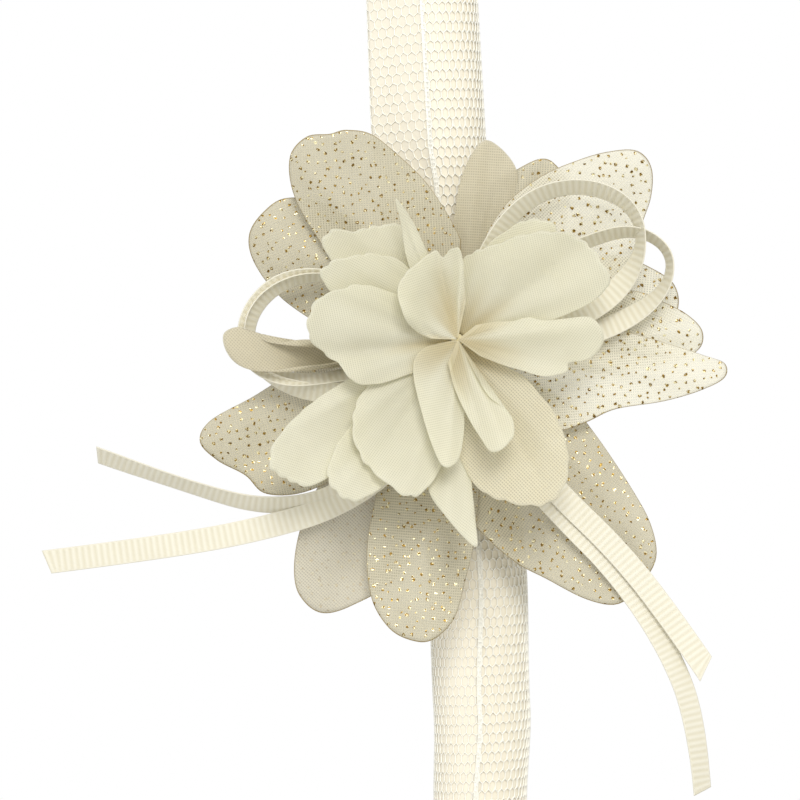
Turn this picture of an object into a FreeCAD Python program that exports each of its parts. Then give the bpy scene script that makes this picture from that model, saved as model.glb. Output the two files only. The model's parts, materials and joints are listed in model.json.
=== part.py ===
"""Wedding candle: a slim candle in a satin lining and a net sleeve, with a fabric flower and ribbon bow
tied to its front.

Millimetres, +Z up. The origin is the centre of the candle's base. The flower faces -Y.
"""
import FreeCAD, Part
import math
import os
import Sketcher
from FreeCAD import Placement, Rotation, Vector

doc = FreeCAD.newDocument("WeddingCandle")

# ---------------------------------------------------------------- driving sizes
SIZES = {
    # candle and wick
    "candle_radius": 10.0, "candle_height": 300.0, "shoulder_height": 8.0, "shoulder_top_radius": 3.5,
    "holder_end_radius": 9.8, "holder_end_length": 22.0,
    "wick_radius": 0.9, "wick_bore_radius": 1.0, "wick_start": 4.0, "wick_stand": 9.0,
    # wrapping: the lining's bore round the candle, the net's depth front to back and its thickness, and
    # the gap between the net and the lining
    "wrap_bore_radius": 10.15, "sleeve_half_depth": 12.6, "net_thickness": 0.35, "net_gap": 0.1,
    # what holds the flower on: a wire tie round the sleeve, a felt disc and a stitch
    "flower_height": 160.0, "tie_inner_radius": 12.75, "tie_thickness": 0.7, "tie_width": 5.0,
    "disc_radius": 15.0, "disc_thickness": 1.5, "disc_gap": 0.1,
    "stitch_radius": 0.8, "stitch_hole_radius": 1.2, "stitch_head_radius": 2.4, "stitch_head": 0.8,
    # petal cloth, and the pitch at which the petals are stacked
    "cloth_thickness": 0.3, "petal_pitch": 0.5, "petal_reach_forward": 60.0,
    "glitter_first": 16.0, "glitter_cup_back": 700.0, "glitter_cup_front": 260.0,
    "chiffon_first": 28.8, "chiffon_cup_back": 100.0, "chiffon_cup_front": 46.0,
    # ribbon
    "ribbon_width": 6.35, "ribbon_thickness": 0.4, "ribbon_first": 23.2, "ribbon_pitch": 0.6,
    "ribbon_lift": 4.0,
}

# Petals from the back of the flower to its front: direction round the flower in degrees from +X towards
# +Z, reach from the centre, width near the tip, and radius of the rounded root.
GLITTER_PETALS = {
    "glitter_petal_top_back": (61, 55, 27, 4.0),
    "glitter_petal_top": (75, 56, 29, 4.0),
    "glitter_petal_left": (151, 63, 34, 4.5),
    "glitter_petal_bottom_left": (237, 80, 35, 4.5),
    "glitter_petal_right_back": (12, 60, 29, 4.0),
    "glitter_petal_low_left": (206, 71, 37, 4.5),
    "glitter_petal_high_right": (42, 69, 42, 4.5),
    "glitter_petal_high_left": (118, 68, 44, 4.5),
    "glitter_petal_low_right": (301, 83, 48, 4.5),
    "glitter_petal_bottom": (260, 80, 36, 4.5),
    "glitter_petal_right": (0, 65, 27, 4.0),
    "glitter_petal_curled": (178, 62, 17, 4.0),
    "glitter_petal_tongue": (348, 73, 18, 4.0),
}
CHIFFON_PETALS = {
    "chiffon_petal_high_left_back": (126, 44, 27, 4.0),
    "chiffon_petal_high_right_back": (52, 39, 27, 4.0),
    "chiffon_petal_low_left": (211, 58, 33, 4.0),
    "chiffon_petal_low_left_inner": (230, 50, 24, 4.0),
    "chiffon_point_bottom": (268, 53, 10, 4.0),
    "chiffon_petal_low_right": (306, 50, 38, 4.0),
    "chiffon_petal_high_left": (139, 39, 29, 4.0),
    "chiffon_petal_bottom": (236, 43, 30, 4.0),
    "chiffon_petal_high_right": (32, 42, 36, 4.0),
    "chiffon_point_top": (109, 40, 6, 4.0),
    "chiffon_petal_left": (172, 42, 37, 4.0),
    "chiffon_petal_heart": (118, 28, 27, 4.0),
    "chiffon_roll": (258, 34, 14, 4.0),
    "chiffon_petal_right": (352, 38, 20, 4.0),
    "chiffon_fold": (294, 32, 13, 4.0),
}

# Ribbons from the back to the front. Each route lies in a plane that leans forward along the direction
# given in degrees; its points are X and height above the flower's centre.
RIBBONS = {
    "ribbon_tail_left_lower": (205, [(-2.5, -6), (-13, -28), (-33, -42), (-58, -47.5), (-85, -50.3), (-112, -52)]),
    "ribbon_tail_left_upper": (200, [(-3.5, -5), (-14, -24), (-31, -38.5), (-52, -42), (-75, -34), (-97, -24.5)]),
    "ribbon_tail_right_lower": (300, [(2, -7), (9, -28), (24, -47), (39, -64), (50.5, -84), (57, -104),
                                      (57.3, -122.9)]),
    "ribbon_tail_right_upper": (308, [(3, -5), (11, -24), (24, -42), (38, -57), (50, -73.5), (60.3, -90.8)]),
    "ribbon_loop_right_lower": (15, [(6, -3), (24, -3), (42, 1), (56, 9), (58.5, 20), (49, 27), (35, 24),
                                     (20, 17.5), (7, 8)]),
    "ribbon_loop_left_lower": (175, [(-5, -5), (-18, -10), (-32, -12.5), (-46, -10), (-56, -2), (-57.5, 9),
                                     (-50, 18), (-37, 21.5), (-22, 17), (-9, 9)]),
    "ribbon_loop_left_upper": (175, [(-5, 4), (-17, 13), (-31, 19.5), (-45, 19.5), (-55, 11), (-56.5, -1),
                                     (-47, -8), (-33, -8), (-18, -5), (-5, -3.5)]),
    "ribbon_loop_right_upper": (30, [(4, 2), (22, 1), (40, 7), (51, 20), (49, 33), (36, 39.5), (21, 37),
                                     (9, 24), (3.5, 9)]),
}

# Wrapping from its lower edge to its upper one: height, sideways shift and half width of the net. It is
# gathered in under the flower and stands looser above and below.
SLEEVE_SECTIONS = [
    (30, -1.1, 12.8), (82, 2.0, 13.6), (97, 2.0, 13.6), (160, 0.0, 12.6), (215, -4.0, 15.7), (262, -3.5, 15.3),
]

sheet = doc.addObject("Spreadsheet::Sheet", "Sizes")


def store(alias, value):
    """Put one plain number in the next free row of the sheet, under its alias."""
    store.row += 1
    cell = "B%d" % store.row
    sheet.set("A%d" % store.row, alias)
    sheet.set(cell, repr(float(value)))
    sheet.setAlias(cell, alias)


store.row = 0
for alias, value in SIZES.items():
    store(alias, value)
for family, cloth in ((GLITTER_PETALS, "glitter"), (CHIFFON_PETALS, "chiffon")):
    cup_back, cup_front = SIZES[cloth + "_cup_back"], SIZES[cloth + "_cup_front"]
    for number, (name, (direction, reach, width, root)) in enumerate(family.items()):
        store(name + "_direction", direction)
        store(name + "_reach", reach)
        store(name + "_tip_radius", width / 2)
        store(name + "_root_radius", root)
        store(name + "_cup", cup_back + (cup_front - cup_back) * number / (len(family) - 1))
for number, (height, shift, half_width) in enumerate(SLEEVE_SECTIONS):
    store("section_%d_height" % number, height)
    store("section_%d_shift" % number, shift)
    store("section_%d_half_width" % number, half_width)
doc.recompute()


def size(alias):
    return float(sheet.get(alias))


def primitive(kind, name, **expressions):
    """A Part primitive whose named properties are bound to expressions of the sheet."""
    shape = doc.addObject(kind, name)
    for prop, expression in expressions.items():
        shape.setExpression(prop.replace("_", "."), expression)
    return shape


def combine(kind, name, base, tool):
    result = doc.addObject(kind, name)
    result.Base = base
    result.Tool = tool
    return result


pieces = []


def keep(obj, label):
    """Make an object a piece of the model: its label names its file."""
    obj.Label = label
    pieces.append(obj)
    return obj


# ---------------------------------------------------------------- candle and wick
def build_candle():
    holder_end = primitive("Part::Cylinder", "HolderEnd", Radius="Sizes.holder_end_radius",
                           Height="Sizes.holder_end_length")
    stem = primitive("Part::Cylinder", "Stem", Radius="Sizes.candle_radius",
                     Height="Sizes.candle_height - Sizes.holder_end_length - Sizes.shoulder_height",
                     Placement_Base_z="Sizes.holder_end_length")
    shoulder = primitive("Part::Cone", "Shoulder", Radius1="Sizes.candle_radius",
                         Radius2="Sizes.shoulder_top_radius", Height="Sizes.shoulder_height",
                         Placement_Base_z="Sizes.candle_height - Sizes.shoulder_height")
    wax = doc.addObject("Part::MultiFuse", "Wax")
    wax.Shapes = [holder_end, stem, shoulder]
    bore = primitive("Part::Cylinder", "WickBore", Radius="Sizes.wick_bore_radius",
                     Height="Sizes.candle_height", Placement_Base_z="Sizes.wick_start")
    keep(combine("Part::Cut", "CandleBody", wax, bore), "candle_body")
    wick = primitive("Part::Cylinder", "Wick", Radius="Sizes.wick_radius",
                     Height="Sizes.candle_height - Sizes.wick_start + Sizes.wick_stand",
                     Placement_Base_z="Sizes.wick_start")
    keep(wick, "wick")


# ---------------------------------------------------------------- wrapping and what holds the flower
def wrap_loft(name, inset):
    """Solid through the wrapping's oval sections, each drawn in by the same inset."""
    sections = []
    for number in range(len(SLEEVE_SECTIONS)):
        prefix = "Sizes.section_%d_" % number
        sections.append(primitive("Part::Ellipse", "%sSection%d" % (name, number),
                                  MajorRadius=prefix + "half_width - " + inset,
                                  MinorRadius="Sizes.sleeve_half_depth - " + inset,
                                  Placement_Base_x=prefix + "shift", Placement_Base_z=prefix + "height"))
    loft = doc.addObject("Part::Loft", name)
    loft.Sections = sections
    loft.Solid = True
    loft.Ruled = True
    return loft


def build_wrapping():
    net_outside = wrap_loft("NetOutside", "0")
    net_inside = wrap_loft("NetInside", "Sizes.net_thickness")
    keep(combine("Part::Cut", "TulleSleeve", net_outside, net_inside), "tulle_sleeve")
    lining_outside = wrap_loft("LiningOutside", "(Sizes.net_thickness + Sizes.net_gap)")
    bore = primitive("Part::Cylinder", "WrapBore", Radius="Sizes.wrap_bore_radius", Height="Sizes.candle_height")
    keep(combine("Part::Cut", "LiningWrap", lining_outside, bore), "lining_wrap")


def build_fastening():
    outside = primitive("Part::Cylinder", "TieOutside", Radius="Sizes.tie_inner_radius + Sizes.tie_thickness",
                        Height="Sizes.tie_width", Placement_Base_z="Sizes.flower_height - Sizes.tie_width / 2")
    inside = primitive("Part::Cylinder", "TieInside", Radius="Sizes.tie_inner_radius",
                       Height="Sizes.tie_width", Placement_Base_z="Sizes.flower_height - Sizes.tie_width / 2")
    keep(combine("Part::Cut", "Tie", outside, inside), "flower_tie")

    disc_back = size("tie_inner_radius") + size("tie_thickness") + size("disc_gap")
    disc = facing_cylinder("Disc", "disc_radius", "disc_thickness", disc_back)
    hole = facing_cylinder("DiscHole", "stitch_hole_radius", "disc_thickness", disc_back)
    keep(combine("Part::Cut", "BackingDisc", disc, hole), "backing_disc")

    # the stitch runs from the back of the disc to the front of the last petal
    last = size("chiffon_first") + len(CHIFFON_PETALS) * size("petal_pitch")
    thread = primitive("Part::Cylinder", "StitchThread", Radius="Sizes.stitch_radius")
    thread.Height = last - disc_back
    thread.Placement = facing(disc_back)
    knot = facing_cylinder("StitchKnot", "stitch_head_radius", "stitch_head", last)
    keep(combine("Part::Fuse", "Stitch", thread, knot), "centre_stitch")


def facing(depth, turn=0.0):
    """Placement in the flower's plane, depth in front of the candle's axis, with local z forwards (-Y)."""
    upright = Rotation(Vector(1, 0, 0), 90)
    return Placement(Vector(0, -depth, size("flower_height")), upright.multiply(Rotation(Vector(0, 0, 1), turn)))


def facing_cylinder(name, radius_alias, height_alias, depth):
    cylinder = primitive("Part::Cylinder", name, Radius="Sizes." + radius_alias, Height="Sizes." + height_alias)
    cylinder.Placement = facing(depth)
    return cylinder


# ---------------------------------------------------------------- petals
def petal_outline(label):
    """A drop: a small arc at the root, a large one at the tip, and a straight tangent each side."""
    reach, tip, root = (size(label + end) for end in ("_reach", "_tip_radius", "_root_radius"))
    span = reach - tip
    lean = math.acos((root - tip) / span)
    up = Vector(math.cos(lean), math.sin(lean))
    down = Vector(up.x, -up.y)
    centre = Vector(span, 0)
    sketch = doc.addObject("Sketcher::SketchObject", "Outline_" + label)
    normal = Vector(0, 0, 1)
    root_arc = sketch.addGeometry(Part.ArcOfCircle(Part.Circle(Vector(), normal, root), lean, 2 * math.pi - lean))
    tip_arc = sketch.addGeometry(Part.ArcOfCircle(Part.Circle(centre, normal, tip), -lean, lean))
    upper = sketch.addGeometry(Part.LineSegment(up * root, centre + up * tip))
    lower = sketch.addGeometry(Part.LineSegment(down * root, centre + down * tip))
    start, end, middle = 1, 2, 3
    for line, root_end, tip_end in ((upper, start, end), (lower, end, start)):
        sketch.addConstraint(Sketcher.Constraint("Tangent", root_arc, root_end, line, start))
        sketch.addConstraint(Sketcher.Constraint("Tangent", tip_arc, tip_end, line, end))
    sketch.addConstraint(Sketcher.Constraint("Coincident", root_arc, middle, -1, 1))
    sketch.addConstraint(Sketcher.Constraint("PointOnObject", tip_arc, middle, -1))
    for name, constraint, expression in (
            ("RootRadius", Sketcher.Constraint("Radius", root_arc, root), "Sizes.%s_root_radius"),
            ("TipRadius", Sketcher.Constraint("Radius", tip_arc, tip), "Sizes.%s_tip_radius"),
            ("Span", Sketcher.Constraint("DistanceX", -1, 1, tip_arc, middle, span),
             "Sizes.%s_reach - Sizes.%s_tip_radius")):
        sketch.renameConstraint(sketch.addConstraint(constraint), name)
        sketch.setExpression("Constraints." + name, expression.replace("%s", label))
    return sketch


def build_petals(family, first):
    """Cut each petal's drop from a thin bowl. The bowls nest: each is further forward than the last and
    no flatter, so no petal cuts through another."""
    for number, label in enumerate(family):
        depth = size(first) + number * size("petal_pitch")
        cup = size(label + "_cup")
        sketch = petal_outline(label)
        sketch.Placement = facing(depth - size("petal_pitch"), size(label + "_direction"))
        prism = doc.addObject("Part::Extrusion", "Prism_" + label)
        prism.Base = sketch
        prism.DirMode = "Normal"
        prism.Solid = True
        prism.setExpression("LengthFwd", "Sizes.petal_reach_forward")
        outside = primitive("Part::Sphere", "BowlOutside_" + label, Radius="Sizes.%s_cup" % label)
        inside = primitive("Part::Sphere", "BowlInside_" + label,
                           Radius="Sizes.%s_cup - Sizes.cloth_thickness" % label)
        for ball in (outside, inside):
            ball.Placement.Base = Vector(0, -depth - cup, size("flower_height"))
        bowl = combine("Part::Cut", "Bowl_" + label, outside, inside)
        blank = combine("Part::Common", "Blank_" + label, prism, bowl)
        hole = facing_cylinder("Hole_" + label, "stitch_hole_radius", "petal_reach_forward",
                               depth - size("petal_pitch"))
        keep(combine("Part::Cut", "Petal_" + label, blank, hole), label)


# ---------------------------------------------------------------- ribbons
def rounded_route(points):
    """Straight runs joined by tangent arcs, each as large as its two runs allow."""
    edges = []
    radii = []
    here = points[0]
    for before, corner, after in zip(points, points[1:], points[2:]):
        back = before - corner
        ahead = after - corner
        shorter = min(back.Length, ahead.Length)
        turn = math.pi - back.getAngle(ahead)
        radius = 0.45 * shorter / math.tan(turn / 2)
        cut = radius * math.tan(turn / 2)
        start = corner + back.normalize() * cut
        end = corner + ahead.normalize() * cut
        inward = (back + ahead).normalize()
        middle = corner + inward * (radius / math.cos(turn / 2) - radius)
        edges += [Part.LineSegment(here, start).toShape(), Part.Arc(start, middle, end).toShape()]
        radii.append(radius)
        here = end
    edges.append(Part.LineSegment(here, points[-1]).toShape())
    return Part.Wire(edges), radii


def build_ribbons():
    wide, thick = size("ribbon_width"), size("ribbon_thickness")
    for number, (label, (direction, route)) in enumerate(RIBBONS.items()):
        path, radii = rounded_route([Vector(x, y, 0) for x, y in route])
        heading = path.Edges[0].tangentAt(path.Edges[0].FirstParameter)
        side = Vector(-heading.y, heading.x, 0) * (wide / 2)
        rise = Vector(0, 0, thick / 2)
        corners = [side + rise, rise - side, -side - rise, side - rise]
        profile = Part.makePolygon([path.Edges[0].firstVertex().Point + corner for corner in corners + corners[:1]])
        sweep = Part.BRepOffsetAPI.MakePipeShell(path)
        sweep.setBiNormalMode(Vector(0, 0, 1))
        sweep.add(profile)
        sweep.build()
        sweep.makeSolid()
        band = sweep.shape()
        volume = wide * thick * path.Length
        print("%s: length %.1f mm, radii %s, volume %.1f of %.1f mm3" % (
            label, path.Length, " ".join("%.0f" % radius for radius in radii), band.Volume, volume))
        # lean the plane forwards about the line through the centre that is square to the ribbon's direction
        axis = Vector(-math.sin(math.radians(direction)), math.cos(math.radians(direction)), 0)
        lean = Placement(Vector(), Rotation(axis, -size("ribbon_lift")))
        piece = doc.addObject("Part::Feature", "Ribbon_" + label)
        piece.Shape = band
        piece.Placement = facing(size("ribbon_first") + number * size("ribbon_pitch")).multiply(lean)
        keep(piece, label)


build_candle()
build_wrapping()
build_fastening()
build_petals(GLITTER_PETALS, "glitter_first")
build_petals(CHIFFON_PETALS, "chiffon_first")
build_ribbons()
doc.recompute()

# ---------------------------------------------------------------- check and export
for obj in doc.Objects:
    if "Invalid" in obj.State or "Error" in obj.State:
        raise RuntimeError("%s failed to build: %s" % (obj.Name, obj.State))
os.makedirs("parts", exist_ok=True)
for piece in pieces:
    shape = piece.Shape
    if shape.isNull() or not shape.isValid() or len(shape.Solids) != 1:
        raise RuntimeError("%s: null, invalid or not one solid (%d solids)" % (piece.Label, len(shape.Solids)))
    shape.exportStep("parts/%s.step" % piece.Label)
    box = shape.BoundBox
    print("%-32s %8.1f mm3  x %7.1f %7.1f  y %7.1f %7.1f  z %7.1f %7.1f" % (
        piece.Label, shape.Volume, box.XMin, box.XMax, box.YMin, box.YMax, box.ZMin, box.ZMax))
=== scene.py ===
"""Looks of a decorated wedding candle: net over a satin lining on a slim candle, with a flower of glitter
organza and chiffon petals and a grosgrain ribbon bow on its front. Metres, +Z up, the flower faces -Y."""
import json
import math
import random

import bmesh
import bpy
from mathutils import Matrix, Vector, noise

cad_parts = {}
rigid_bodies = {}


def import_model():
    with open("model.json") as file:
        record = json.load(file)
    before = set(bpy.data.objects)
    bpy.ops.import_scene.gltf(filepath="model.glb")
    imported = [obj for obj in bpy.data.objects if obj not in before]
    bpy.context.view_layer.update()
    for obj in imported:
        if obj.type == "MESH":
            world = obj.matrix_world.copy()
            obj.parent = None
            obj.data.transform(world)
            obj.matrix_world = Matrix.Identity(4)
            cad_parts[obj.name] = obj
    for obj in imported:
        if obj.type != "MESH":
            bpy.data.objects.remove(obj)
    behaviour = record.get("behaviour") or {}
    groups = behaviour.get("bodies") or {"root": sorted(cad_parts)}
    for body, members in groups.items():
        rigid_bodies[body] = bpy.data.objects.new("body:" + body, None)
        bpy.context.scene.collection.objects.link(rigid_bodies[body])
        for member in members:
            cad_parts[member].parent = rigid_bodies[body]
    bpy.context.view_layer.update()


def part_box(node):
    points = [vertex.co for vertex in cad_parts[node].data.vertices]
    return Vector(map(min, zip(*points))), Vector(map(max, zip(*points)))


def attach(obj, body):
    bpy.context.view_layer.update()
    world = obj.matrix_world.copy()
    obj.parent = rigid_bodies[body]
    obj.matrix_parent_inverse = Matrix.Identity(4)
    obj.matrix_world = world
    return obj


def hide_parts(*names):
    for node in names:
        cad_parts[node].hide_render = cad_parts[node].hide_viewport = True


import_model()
bpy.ops.object.select_all(action="DESELECT")

MM = 0.001
TAU = 2 * math.pi


def low(node):
    """A node's lowest corner in millimetres."""
    return Vector(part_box(node)[0]) / MM


def high(node):
    return Vector(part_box(node)[1]) / MM


FLOWER_HEIGHT = (low("backing_disc").z + high("backing_disc").z) / 2
CANDLE_RADIUS = high("candle_body").x
WRAP_BOTTOM, WRAP_TOP = low("tulle_sleeve").z, high("tulle_sleeve").z


def smooth_step(low_end, high_end, value):
    """0 below low_end, 1 above high_end, and an even curve between."""
    share = min(max((value - low_end) / (high_end - low_end), 0.0), 1.0)
    return share * share * (3 - 2 * share)


def blend_table(rows, at):
    """Values at a height, smoothly between rows of (height, value, value...)."""
    rows = sorted(rows)
    if at <= rows[0][0]:
        return rows[0][1:]
    for lower, upper in zip(rows, rows[1:]):
        if at <= upper[0]:
            share = smooth_step(lower[0], upper[0], at)
            return tuple(a + (b - a) * share for a, b in zip(lower[1:], upper[1:]))
    return rows[-1][1:]


# ---- camera and light
def set_camera():
    """A long lens level with the flower, rolled so that the upright candle leans a little to the left."""
    lean = math.radians(3.49)
    flower_plane, distance, view_width = -30.0, 1000.0, 212.0
    aim = Vector((-16.1, flower_plane, 145.1))
    data = bpy.data.cameras.new("camera")
    data.sensor_width = 36
    data.lens = data.sensor_width * distance / view_width
    data.clip_end = 20
    camera = bpy.data.objects.new("camera", data)
    right = Vector((math.cos(lean), 0, -math.sin(lean)))
    up = Vector((math.sin(lean), 0, math.cos(lean)))
    turn = Matrix((right, up, Vector((0, -1, 0)))).transposed()
    camera.matrix_world = Matrix.Translation((aim - Vector((0, distance, 0))) * MM) @ turn.to_4x4()
    bpy.context.scene.collection.objects.link(camera)
    bpy.context.scene.camera = camera


def lamp(name, place, width, watts, tint):
    """A square soft lamp that points at the flower. Its place and width are in metres."""
    data = bpy.data.lights.new(name, "AREA")
    data.size = width
    data.energy = watts
    data.color = colour(tint)[:3]
    light = bpy.data.objects.new(name, data)
    light.location = place
    target = Vector((0, 0, FLOWER_HEIGHT * MM))
    light.rotation_euler = (target - Vector(place)).to_track_quat("-Z", "Y").to_euler()
    bpy.context.scene.collection.objects.link(light)


def set_light():
    """A bright white room, a large soft lamp high in front, and a weaker one on the left."""
    lamp("key_lamp", (0.2, -1.5, 1.0), width=0.7, watts=16.0, tint="#FFFDF8")
    lamp("fill_lamp", (-1.2, -1.0, 0.3), width=1.0, watts=3.0, tint="#FAFBFF")
    world = bpy.data.worlds.new("room")
    bpy.context.scene.world = world
    world.use_nodes = True
    tree = world.node_tree
    tree.nodes.clear()
    room = add(tree, "Background", {"Color": colour("#FCFCFA"), "Strength": 0.78}).outputs[0]
    backdrop = add(tree, "Background", {"Color": (1, 1, 1, 1), "Strength": 1.0}).outputs[0]
    seen = add(tree, "LightPath").outputs["Is Camera Ray"]
    mix = add(tree, "MixShader", {0: seen, 1: room, 2: backdrop}).outputs[0]
    add(tree, "OutputWorld", {"Surface": mix})
    bpy.context.scene.view_settings.view_transform = "Standard"


def build_floor():
    """A pale painted disc under the candle, faintly mottled, reaching further towards the viewer."""
    bpy.ops.mesh.primitive_circle_add(vertices=96, radius=0.32, fill_type="NGON", location=(0, -0.12, 0))
    bpy.ops.object.transform_apply()
    floor = bpy.context.object
    floor.name = "floor"
    material = bpy.data.materials.new("pale_floor")
    material.use_nodes = True
    tree = material.node_tree
    grain = add(tree, "TexNoise", {"Scale": 40.0, "Detail": 4.0}).outputs[0]
    tone = add(tree, "Mix", {0: grain, 6: colour("#D6D5D1"), 7: colour("#DDDCD8")},
               data_type="RGBA").outputs[2]
    shader = tree.nodes["Principled BSDF"]
    shader.inputs["Roughness"].default_value = 0.8
    tree.links.new(tone, shader.inputs["Base Color"])
    floor.data.materials.append(material)


# ---- materials
def colour(code):
    """A colour written as sRGB hex, in the linear values that the shaders take."""
    parts = [int(code[start:start + 2], 16) / 255 for start in (1, 3, 5)]
    return tuple(c / 12.92 if c <= 0.04045 else ((c + 0.055) / 1.055) ** 2.4 for c in parts) + (1.0,)


def add(tree, kind, inputs=None, **settings):
    """A node with its settings, each of its inputs being a value or the socket that feeds it."""
    node = tree.nodes.new("ShaderNode" + kind)
    for key, value in settings.items():
        setattr(node, key, value)
    for key, value in (inputs or {}).items():
        if isinstance(value, bpy.types.NodeSocket):
            tree.links.new(value, node.inputs[key])
        else:
            node.inputs[key].default_value = value
    return node


def blank_material(name):
    """A material with no nodes yet, and its node tree."""
    material = bpy.data.materials.new(name)
    material.use_nodes = True
    material.node_tree.nodes.clear()
    return material, material.node_tree


# A wave texture turns through this many radians in a metre at scale 1.
WAVE_TURN = 20
# In millimetres: the sealed cut edge's width, the gap between glitter flakes, and the size of a facet.
CUT_HEM, FLAKE_GAP, FLAKE_FACET = 0.3, 2.35, 0.3


def sheer_cloth(name, face, shade, root, weave_mm, cover, glow, glitter=0.0):
    """Thin woven cloth: light comes through its threads, and sight through the gaps between them. cover is
    the share that a gap hides, glow the share of light that comes through, and glitter how much of each flake
    is left on it. The weave is drawn coarser than the real 0.2 mm so that it shows."""
    material, tree = blank_material(name)
    uv = add(tree, "UVMap", uv_map="cloth").outputs[0]
    rim = add(tree, "Attribute", attribute_name="rim").outputs["Fac"]
    warp, weft = (
        add(tree, "TexWave",
            {"Vector": uv, "Scale": TAU / (WAVE_TURN * pitch * MM), "Distortion": 0.6, "Detail": 1.0,
             "Detail Scale": 0.4}, bands_direction=axis).outputs["Fac"]
        for axis, pitch in (("X", weave_mm), ("Y", weave_mm * 0.85)))
    weft = add(tree, "Math", {0: weft, 1: 0.88}, operation="MULTIPLY").outputs[0]
    weave = add(tree, "Math", {0: warp, 1: weft}, operation="MAXIMUM").outputs[0]
    cloud = add(tree, "TexNoise", {"Vector": uv, "Scale": 90.0, "Detail": 3.0}).outputs[0]
    tone = add(tree, "Mix", {0: 0.42, 2: cloud, 3: weave}).outputs[0]
    base = add(tree, "Mix", {0: tone, 6: colour(shade), 7: colour(face)}, data_type="RGBA").outputs[2]

    # painted shade: near the root, where the cloth is gathered, and in the valleys the colour is painted a
    # warmer tan, and on the ridges paler, as painted light
    painted_root_shade = add(tree, "Attribute", attribute_name="painted_shade_distance").outputs["Fac"]
    painted_root_shade = add(tree, "MapRange",
                   {0: painted_root_shade, "From Min": 1.0, "From Max": 20.0, "To Min": 0.55, "To Max": 0.0},
                   interpolation_type="SMOOTHSTEP").outputs[0]
    base = add(tree, "Mix", {0: painted_root_shade, 6: base, 7: colour(root)}, data_type="RGBA").outputs[2]

    # the cut edge is sealed by heat: a thin closed line, darker on the glitter cloth
    sealed_tone, sealed_share = ("#A8925C", 0.7) if glitter else ("#F8F5E4", 0.3)
    hem = add(tree, "Math", {0: rim, 1: CUT_HEM}, operation="LESS_THAN").outputs[0]
    sealed = add(tree, "Math", {0: hem, 1: sealed_share}, operation="MULTIPLY").outputs[0]
    base = add(tree, "Mix", {0: sealed, 6: base, 7: colour(sealed_tone)}, data_type="RGBA").outputs[2]
    solid = add(tree, "Math", {0: weave, 1: 1 - cover, 2: cover}, operation="MULTIPLY_ADD").outputs[0]
    solid = add(tree, "Math", {0: solid, 1: hem}, operation="MAXIMUM").outputs[0]
    bump = add(tree, "Bump", {"Strength": 0.25, "Distance": 0.0002, "Height": weave}).outputs[0]
    roughness = 0.62
    finish = {"Base Color": base, "Roughness": roughness, "Sheen Weight": 0.25, "Sheen Roughness": 0.4,
              "Specular IOR Level": 0.35, "Normal": bump}
    if glitter:
        # glued flakes of gold foil in uneven rows, larger or smaller; their small facets are painted from
        # dark to gold as painted shade, and the brightest white-gold as painted glints
        wobble = add(tree, "TexNoise", {"Vector": uv, "Scale": 1400.0, "Detail": 1.0}).outputs["Color"]
        shaken = add(tree, "VectorMath", {0: wobble, 1: (0.0007, 0.0007, 0), 2: uv},
                     operation="MULTIPLY_ADD").outputs[0]
        cells = add(tree, "TexVoronoi", {"Vector": shaken, "Scale": 1 / (FLAKE_GAP * MM), "Randomness": 0.78},
                    voronoi_dimensions="2D")
        chance = add(tree, "SeparateColor", {0: cells.outputs["Color"]}).outputs[0]
        reach = add(tree, "Math", {0: chance, 1: 0.09, 2: 0.11}, operation="MULTIPLY_ADD").outputs[0]
        flake = add(tree, "Math", {0: cells.outputs["Distance"], 1: reach}, operation="LESS_THAN").outputs[0]
        flake = add(tree, "Math", {0: flake, 1: glitter}, operation="MULTIPLY").outputs[0]
        facets = add(tree, "TexVoronoi", {"Vector": uv, "Scale": 1 / (FLAKE_FACET * MM)},
                     voronoi_dimensions="2D").outputs["Color"]
        facet_painted_shade = add(tree, "SeparateColor", {0: facets}).outputs[0]
        painted_glint = add(tree, "Math", {0: facet_painted_shade, 1: 0.64}, operation="GREATER_THAN").outputs[0]
        gold_with_painted_light = add(tree, "Mix", {0: facet_painted_shade, 6: colour("#6B4E1E"), 7: colour("#E0BC62")},
                   data_type="RGBA").outputs[2]
        gold_with_painted_light = add(tree, "Mix", {0: painted_glint, 6: gold_with_painted_light, 7: colour("#FFF8D2")}, data_type="RGBA").outputs[2]
        finish["Base Color"] = add(tree, "Mix", {0: flake, 6: base, 7: gold_with_painted_light}, data_type="RGBA").outputs[2]
        finish["Metallic"] = add(tree, "Math", {0: flake, 1: 0.75}, operation="MULTIPLY").outputs[0]
        finish["Roughness"] = add(tree, "Math", {0: flake, 1: -0.3, 2: roughness},
                                  operation="MULTIPLY_ADD").outputs[0]
        solid = add(tree, "Math", {0: solid, 1: flake}, operation="MAXIMUM").outputs[0]
    cloth = add(tree, "BsdfPrincipled", finish).outputs[0]
    through = add(tree, "BsdfTranslucent", {"Color": finish["Base Color"]}).outputs[0]
    body = add(tree, "MixShader", {0: glow, 1: cloth, 2: through}).outputs[0]
    clear = add(tree, "BsdfTransparent").outputs[0]
    mixed = add(tree, "MixShader", {0: solid, 1: clear, 2: body}).outputs[0]
    add(tree, "OutputMaterial", {"Surface": mixed})
    return material


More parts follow.
